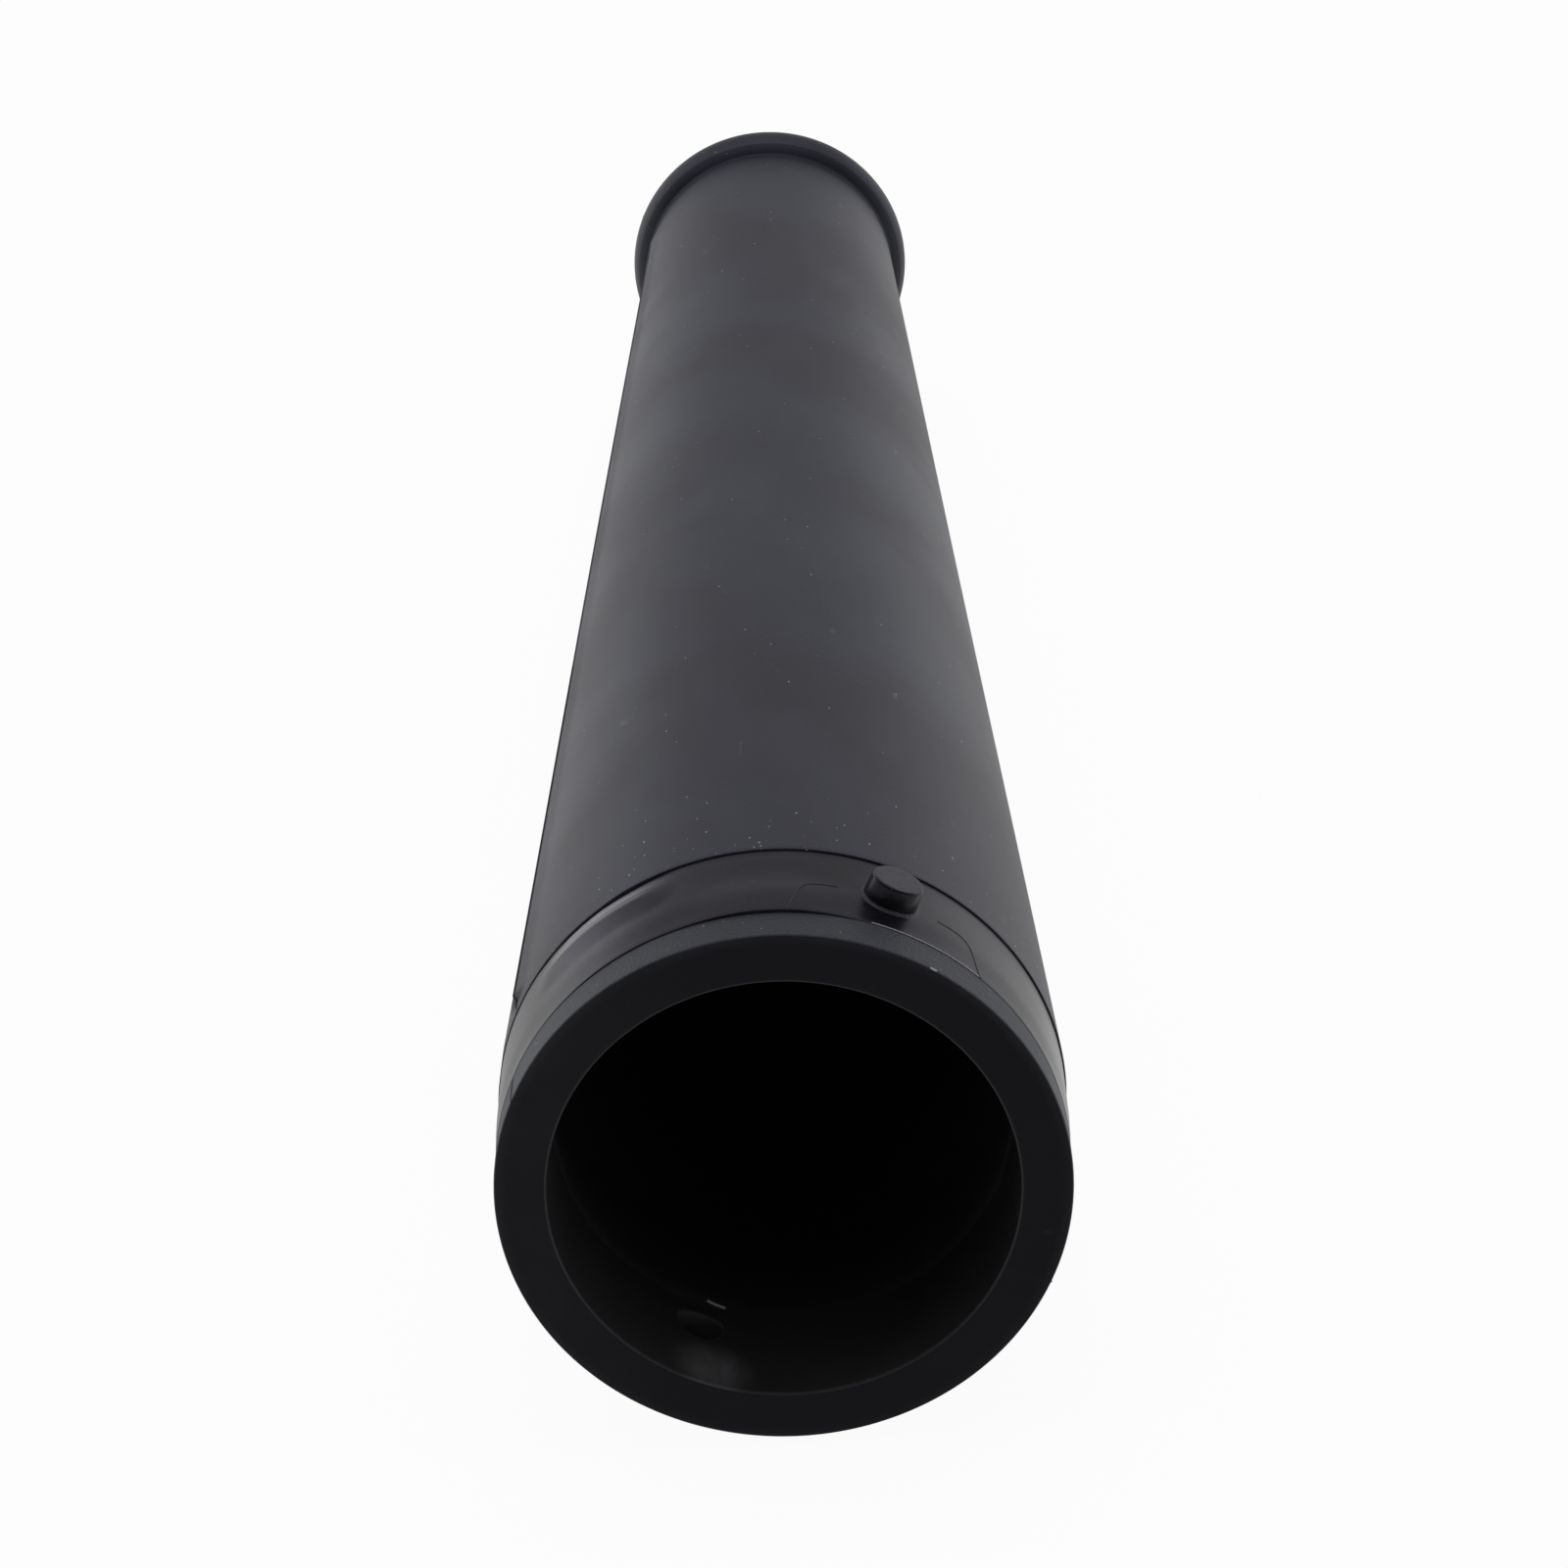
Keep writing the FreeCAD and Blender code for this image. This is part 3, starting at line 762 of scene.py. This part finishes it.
def painted_side_light_effect():
    """Painted light that grows to the left of the end face, where light from the left falls, with the upper
    peg to the right.
    """
    tree, place, value = effect("side_wear")
    across = add_node(tree, "ShaderNodeVectorMath", operation="DOT_PRODUCT")
    tree.links.new(place, across.inputs[0])
    across.inputs[1].default_value = (-math.cos(PEG_LEAN), 0, -math.sin(PEG_LEAN))
    grown = ranged(tree, across.outputs["Value"], 6 * MM, COLLAR_RADIUS)
    broken = ranged(tree, noise(tree, place, scale=160, detail=4), 0.3, 0.7, 0.6, 1)
    tree.links.new(times(tree, grown, broken), value)
    return tree


def patch_effect(name, middle, inner, outer):
    """A soft, streaked patch about one place."""
    tree, place, value = effect(name)
    offset = add_node(tree, "ShaderNodeVectorMath", operation="DISTANCE")
    tree.links.new(place, offset.inputs[0])
    offset.inputs[1].default_value = middle
    patch = ranged(tree, offset.outputs["Value"], inner, outer, 1, 0)
    streaks = noise(tree, place, scale=420, detail=3, stretch=(1, 0.4, 1))
    streaked = ranged(tree, streaks, 0.3, 0.7, 0.5, 1)
    tree.links.new(times(tree, patch, streaked), value)
    return tree


def tube_place(tree):
    """Place on the tube: along its own axes, from the middle of the end face."""
    where = add_node(tree, "ShaderNodeTexCoord")
    turned = add_node(tree, "ShaderNodeMapping", vector_type="TEXTURE")
    turned.inputs["Location"].default_value = REST.to_translation()
    turned.inputs["Rotation"].default_value = REST.to_euler()
    tree.links.new(where.outputs["Object"], turned.inputs["Vector"])
    return turned.outputs[0]


def shared(tree, group, place):
    """The value that a shared effect gives at a place."""
    node = add_node(tree, "ShaderNodeGroup", node_tree=group)
    tree.links.new(place, node.inputs["Place"])
    return node.outputs["Value"]


def tinted(tree, mask, first, second):
    """One colour passing into another; either may be a plain colour or the result before."""
    node = add_node(tree, "ShaderNodeMix", data_type="RGBA")
    tree.links.new(mask, node.inputs["Factor"])
    for socket, colour in ((node.inputs[6], first), (node.inputs[7], second)):
        if isinstance(colour, tuple):
            socket.default_value = (*colour, 1)
        else:
            tree.links.new(colour, socket)
    return node.outputs[2]


# Numbers of the finishes, the colours of marks, the height of the grain, and how much roughness polish
# leaves.
BODY, BAND, COLLAR, END_FACE, PEG_SIDE, PEG_END, BORE, DUCT, HOLLOW, PALE_GLINT_AND_SPECK, BEAD_SHADE = range(11)
DUST = (0.75, 0.75, 0.78)
# Pale colour of the rub marks, also used for the painted highlight and the painted side light on the end
# face.
RUB_AND_PAINTED_LIGHT = (0.10, 0.10, 0.105)
# Colour of wipe marks on the band and the pegs' sides, and of the painted highlight in the patch on the
# band left of the upper peg.
WIPE_AND_HIGHLIGHT = (0.030, 0.028, 0.040)
# Colour of a painted reflection on the bore's floor just inside the mouth.
PAINTED_REFLECTION = (0.11, 0.11, 0.11)
PALE_GRAIN = (0.028, 0.029, 0.032)
HAZE = (0.031, 0.036, 0.047)
PLAIN_SHEEN = (0.85, 0.84, 1)
GRAIN_HEIGHT = 0.1 * MM
POLISHED_SHARE = 0.5


def finish(name, effects, cool, warm, roughness, specular, grain, marks=(), sheen=PLAIN_SHEEN,
           polish=None):
    """A moulded finish: two tints in soft patches, grain, and marks of other colours over them."""
    material = bpy.data.materials.new(name)
    material.use_nodes = True
    tree = material.node_tree
    shader = tree.nodes["Principled BSDF"]
    shader.inputs["Specular IOR Level"].default_value = specular
    shader.inputs["Specular Tint"].default_value = (*sheen, 1)
    place = tube_place(tree)
    patches = shared(tree, effects["clouds"], place)
    colour = tinted(tree, patches, cool, warm)
    for kind, strength, shade in marks:
        amount = times(tree, shared(tree, effects[kind], place), strength)
        colour = tinted(tree, amount, colour, shade)
    tree.links.new(colour, shader.inputs["Base Color"])
    smooth, dull = roughness
    rough = ranged(tree, patches, 0, 1, smooth, dull)
    if polish:
        polished = shared(tree, effects[polish], place)
        rough = times(tree, rough, ranged(tree, polished, 0, 1, 1, POLISHED_SHARE))
    tree.links.new(rough, shader.inputs["Roughness"])
    bump = add_node(tree, "ShaderNodeBump")
    bump.inputs["Distance"].default_value = GRAIN_HEIGHT
    bump.inputs["Strength"].default_value = grain
    tree.links.new(shared(tree, effects["grain"], place), bump.inputs["Height"])
    tree.links.new(bump.outputs[0], shader.inputs["Normal"])
    return material


def grey(level):
    """A colour without a tint."""
    return (level, level, level)


def finishes():
    """All finishes of the moulding, in the order of their numbers."""
    effects = {
        "clouds": clouds_effect(), "haze": haze_effect(), "smears": smears_effect(),
        "grain": grain_effect(), "scuffs": scuffs_effect(), "streaks": streaks_effect(),
        "dust": dust_effect(), "edge": painted_edge_highlight_effect(), "side": painted_side_light_effect(),
        "worn": patch_effect("worn_patch", PAINTED_REFLECTION_PLACE, 1.5 * MM, 6.5 * MM),
        # Left of the upper peg: wipe marks with a painted highlight along the band's rear edge.
        "wiped": patch_effect("wiped_patch", WIPE_AND_HIGHLIGHT_PLACE, 2 * MM, 11 * MM),
        "polished": patch_effect("polished_patch", POLISHED_PLACE, 4 * MM, 11 * MM)}
    return [
        finish("body_matte_black", effects, cool=(0.0042, 0.0068, 0.0135), warm=(0.0092, 0.0087, 0.012),
               roughness=(0.46, 0.51), specular=0.38, grain=0.1,
               marks=(("haze", 0.35, HAZE), ("grain", 0.1, PALE_GRAIN), ("scuffs", 0.5, RUB_AND_PAINTED_LIGHT),
                      ("dust", 0.8, DUST))),
        # The band's marks include a patch left of the upper peg where a highlight is painted among wipe
        # marks.
        finish("band_satin_black", effects, cool=(0.003, 0.0027, 0.004), warm=(0.0055, 0.005, 0.0062),
               roughness=(0.27, 0.34), specular=0.2, grain=0.03,
               marks=(("smears", 0.2, WIPE_AND_HIGHLIGHT), ("streaks", 0.25, WIPE_AND_HIGHLIGHT), ("wiped", 0.8, WIPE_AND_HIGHLIGHT),
                      ("scuffs", 0.2, RUB_AND_PAINTED_LIGHT), ("dust", 0.06, DUST)),
               sheen=(0.96, 0.84, 1), polish="polished"),
        finish("collar_grained_black", effects, cool=(0.018, 0.021, 0.025), warm=(0.022, 0.024, 0.027),
               roughness=(0.54, 0.60), specular=0.42, grain=0.5,
               marks=(("grain", 0.9, PALE_GRAIN), ("dust", 0.3, DUST)), sheen=(0.82, 0.89, 1)),
        # The end face, and the step faces that look the same way, take a darker and less shiny copy of the
        # black plastic: painted shade. Its marks are a painted highlight at the outer edge, painted light
        # on the left and real scuffs.
        finish("end_face_black", effects, cool=(0.0034, 0.0035, 0.0045), warm=(0.0052, 0.0050, 0.0056),
               roughness=(0.55, 0.65), specular=0.12, grain=0.1,
               marks=(("edge", 0.1, RUB_AND_PAINTED_LIGHT), ("side", 0.07, RUB_AND_PAINTED_LIGHT), ("scuffs", 0.1, RUB_AND_PAINTED_LIGHT))),
        finish("peg_side_black", effects, cool=(0.003, 0.003, 0.004), warm=(0.005, 0.005, 0.006),
               roughness=(0.16, 0.20), specular=0.2, grain=0.02, marks=(("streaks", 0.3, WIPE_AND_HIGHLIGHT),)),
        # The pegs' flat ends take a much lighter black than the band and the pegs' sides.
        finish("peg_end_rubbed", effects, cool=(0.056, 0.055, 0.058), warm=(0.068, 0.067, 0.070),
               roughness=(0.58, 0.66), specular=0.42, grain=0.15,
               marks=(("grain", 0.5, PALE_GRAIN), ("scuffs", 0.3, RUB_AND_PAINTED_LIGHT))),
        # The neck's bore carries a painted reflection: a lighter, streaked patch on its floor by the mouth.
        finish("neck_bore_black", effects, cool=grey(0.017), warm=grey(0.026), roughness=(0.40, 0.50),
               specular=0.2, grain=0.05, marks=(("worn", 0.9, PAINTED_REFLECTION),)),
        # The duct takes a lighter copy of the bore's black, filling in the shade deep in the tube: painted
        # light.
        finish("duct_black", effects, cool=grey(0.027), warm=grey(0.033), roughness=(0.75, 0.85),
               specular=0.05, grain=0.05),
        # The hollows behind the pegs take a lighter copy still, against the shade in them: painted light.
        finish("hollow_dusty_black", effects, cool=grey(0.046), warm=grey(0.056), roughness=(0.70, 0.80),
               specular=0.05, grain=0.05),
        # Pale colour on the front witness lines and the fold behind the lower hollow, as painted glints,
        # and on the speck on the collar.
        finish("pale_burr", effects, cool=(0.30, 0.30, 0.31), warm=grey(0.40), roughness=(0.30, 0.40),
               specular=0.5, grain=0.05),
        # The fillet and the near side of the bead take a darker, less shiny copy of the body's black:
        # painted shade, with real haze and dust.
        finish("bead_hollow_black", effects, cool=(0.003, 0.0045, 0.008), warm=(0.006, 0.0058, 0.008),
               roughness=(0.50, 0.58), specular=0.27, grain=0.1,
               marks=(("haze", 0.2, HAZE), ("dust", 0.5, DUST))),
    ]


def finish_of(centre, normal):
    """Which finish a face of the tube has, by its place and the way it looks."""
    outside = from_axis(centre)
    from_peg = math.hypot(centre.x, centre.y - PEG_STATION)
    outward = (normal.x * centre.x + normal.z * centre.z) / outside
    on_step = any(abs(centre.y - level) < 0.1 * MM for level in (0, COLLAR_LENGTH, BAND_END))
    in_wall = MOUTH_RADIUS < outside < HOLLOW_END + 0.05 * MM
    in_flash = abs(centre.z) < FLASH_HALF_WIDTH and outward > 0.3
    by_bead = BEAD_SHADE_START < centre.y < BEAD_SHADE_END
    # Step faces that look to the front take the end face's dark finish: painted shade.
    if normal.y < -0.98 and on_step:
        return END_FACE
    # The hollows behind the pegs take their lighter finish: painted light.
    if in_wall and from_peg < PAINTED_LIGHT_HOLLOW_RADIUS:
        return HOLLOW
    # The flash by the collar and along the front of the body takes the end face's dark finish: a painted
    # line of shade under the step between the mould halves.
    if in_flash and (centre.y < COLLAR_LENGTH or BAND_END < centre.y < PAINTED_SHADE_FLASH_END):
        return END_FACE
    if outward < -0.05 and outside < HOLLOW_END and centre.y > 0:
        return BORE if centre.y < BORE_END else DUCT
    if centre.y < COLLAR_LENGTH:
        return COLLAR
    # The fillet before the bead and the bead's near side: painted shade.
    if by_bead and outside < BEAD_SHADE_RADIUS:
        return BEAD_SHADE
    if centre.y < BAND_END - TOUCH:
        if outside < MOUTH_RADIUS + 0.1 * MM:
            return BORE
        if outside > PEG_TOP - TOUCH:
            return PEG_END
        if outside > PEG_TOP - PEG_ROUND:
            return BAND
        if outside > BAND_FRONT_RADIUS + PEG_FILLET:
            return PEG_SIDE
        # Round the peg's foot the fillet takes the lighter collar finish: a painted highlight along the
        # foot.
        return COLLAR if 0 < from_peg - PEG_TOP_RADIUS < 1.2 * PEG_FILLET else BAND
    return BODY


def make_tube():
    """The moulding: one piece, in the place where the solid lies."""
    piece = start_piece("tube")
    spin_wall()
    raise_parting_flash(piece)
    settle_body(piece)
    settle_band(piece)
    settle_groove(piece)
    for side in (1, -1):
        raise_peg(piece, side)
        sink_hollow(piece, side)
        draw_out_hollow(piece, side)
    bpy.ops.mesh.select_all(action="SELECT")
    bpy.ops.mesh.normals_make_consistent(inside=False)
    bpy.ops.object.mode_set(mode="OBJECT")
    made = finishes()
    for material in made:
        piece.data.materials.append(material)
    for polygon in piece.data.polygons:
        polygon.material_index = finish_of(polygon.center, polygon.normal)
    join_to(piece, draw_lines(piece, made))
    piece.matrix_world = REST
    bpy.ops.object.transform_apply(location=True, rotation=True, scale=True)
    bpy.ops.object.shade_smooth_by_angle(angle=SMOOTH_ANGLE)
    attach(piece, "root")
    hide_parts("nozzle_tube")


# Stage. The dome's strengths are given with the ranges of direction in which one passes into another.

DOME_COLOUR = (0.94, 0.94, 1, 1)
DOME_BACK = 0.75
DOME_SIDE = 0.98
DOME_TOP = 0.5
DOME_ZENITH = 1.8
DOME_FRONT = 0.12
HORIZON_RISE = (0.1, 0.35)
FRONT_TURN = (0.1, -0.5)
ZENITH_RISE = (0.78, 0.96)
SIDE_TURN = (0.2, 0.55)
FLOOR_SIZE = 12
FLOOR_PAINT = (0.9, 0.9, 0.9, 1)
FLOOR_WHITENESS = 0.95
SOFTBOX_SIZE = (1.0, 1.6)
SOFTBOXES = (("left_softbox", (-1.3, 0.9, 0.8), 4), ("right_softbox", (1.3, 0.9, 0.8), 3))
CLIP_START = 0.01


def white_to_camera(tree, strength):
    """A mask for the rays that should see a white background."""
    path = add_node(tree, "ShaderNodeLightPath")
    seen = add_node(tree, "ShaderNodeMath", operation="MAXIMUM")
    tree.links.new(path.outputs["Is Camera Ray"], seen.inputs[0])
    tree.links.new(path.outputs["Is Glossy Ray"], seen.inputs[1])
    shown = add_node(tree, "ShaderNodeMath", operation="MAXIMUM")
    tree.links.new(seen.outputs[0], shown.inputs[0])
    tree.links.new(path.outputs["Is Transmission Ray"], shown.inputs[1])
    return times(tree, shown.outputs[0], strength)


def make_floor():
    """A pale floor that the camera sees nearly white, with a faint shadow."""
    bpy.ops.object.select_all(action="DESELECT")
    bpy.ops.mesh.primitive_plane_add(size=FLOOR_SIZE)
    floor = bpy.context.object
    floor.name = "floor"
    material = bpy.data.materials.new("pale_floor")
    material.use_nodes = True
    tree = material.node_tree
    tree.nodes.clear()
    paint = add_node(tree, "ShaderNodeBsdfDiffuse")
    paint.inputs["Color"].default_value = FLOOR_PAINT
    glow = add_node(tree, "ShaderNodeEmission")
    blend = add_node(tree, "ShaderNodeMixShader")
    output = add_node(tree, "ShaderNodeOutputMaterial")
    tree.links.new(white_to_camera(tree, FLOOR_WHITENESS), blend.inputs[0])
    tree.links.new(paint.outputs[0], blend.inputs[1])
    tree.links.new(glow.outputs[0], blend.inputs[2])
    tree.links.new(blend.outputs[0], output.inputs[0])
    floor.data.materials.append(material)


def make_world():
    """A soft dome: pale round the horizon, grey above, and darker on the photographer's side."""
    world = bpy.data.worlds.new("studio")
    bpy.context.scene.world = world
    world.use_nodes = True
    tree = world.node_tree
    tree.nodes.clear()
    way = add_node(tree, "ShaderNodeTexCoord")
    split = add_node(tree, "ShaderNodeSeparateXYZ")
    tree.links.new(way.outputs["Generated"], split.inputs[0])
    aside = add_node(tree, "ShaderNodeMath", operation="ABSOLUTE")
    tree.links.new(split.outputs["X"], aside.inputs[0])
    front = ranged(tree, split.outputs["Y"], *FRONT_TURN, DOME_TOP, DOME_FRONT)
    zenith = ranged(tree, split.outputs["Z"], *ZENITH_RISE, 1, DOME_ZENITH / DOME_TOP)
    level = add_node(tree, "ShaderNodeMapRange")
    tree.links.new(ranged(tree, split.outputs["Z"], *HORIZON_RISE), level.inputs["Value"])
    tree.links.new(ranged(tree, aside.outputs[0], *SIDE_TURN, DOME_BACK, DOME_SIDE), level.inputs["To Min"])
    tree.links.new(times(tree, front, zenith), level.inputs["To Max"])
    dome = add_node(tree, "ShaderNodeBackground")
    dome.inputs["Color"].default_value = DOME_COLOUR
    tree.links.new(level.outputs["Result"], dome.inputs["Strength"])
    output = add_node(tree, "ShaderNodeOutputWorld")
    tree.links.new(dome.outputs[0], output.inputs[0])


def make_lamps():
    """A soft box on each side, turned to the tube."""
    for name, place, watts in SOFTBOXES:
        bpy.ops.object.light_add(type="AREA", location=place)
        lamp = bpy.context.object
        lamp.name = name
        lamp.rotation_euler = (-Vector(place)).to_track_quat("-Z", "Y").to_euler()
        lamp.data.shape = "RECTANGLE"
        lamp.data.size, lamp.data.size_y = SOFTBOX_SIZE
        lamp.data.energy = watts


def make_camera():
    """The photograph's view: the end face at its pixel and distance, the axis rising away from it."""
    middle = PICTURE_PIXELS / 2
    across = (FACE_PIXEL[0] - middle) / FOCAL_PIXELS
    down = (FACE_PIXEL[1] - middle) / FOCAL_PIXELS
    face = Vector((across, -down, -1)) * FACE_DISTANCE
    rise = Vector((0, math.sin(AXIS_RISE), -math.cos(AXIS_RISE)))
    axis = rise * math.cos(AXIS_YAW) + Vector((math.sin(AXIS_YAW), 0, 0))
    up = Vector((0, 1, 0))
    up = (up - axis * up.dot(axis)).normalized()
    right = axis.cross(up)
    peg = up * math.cos(PEG_LEAN) + right * math.sin(PEG_LEAN)
    seen = Matrix((axis.cross(peg), axis, peg)).transposed()
    place = Matrix.Translation(face) @ seen.to_4x4()
    bpy.ops.object.camera_add()
    camera = bpy.context.object
    camera.matrix_world = REST @ place.inverted()
    camera.data.sensor_width = SENSOR_WIDTH
    camera.data.lens = SENSOR_WIDTH * FOCAL_PIXELS / PICTURE_PIXELS
    camera.data.clip_start = CLIP_START
    bpy.context.scene.camera = camera


bpy.context.scene.view_settings.view_transform = "Standard"
make_tube()
make_floor()
make_world()
make_lamps()
make_camera()
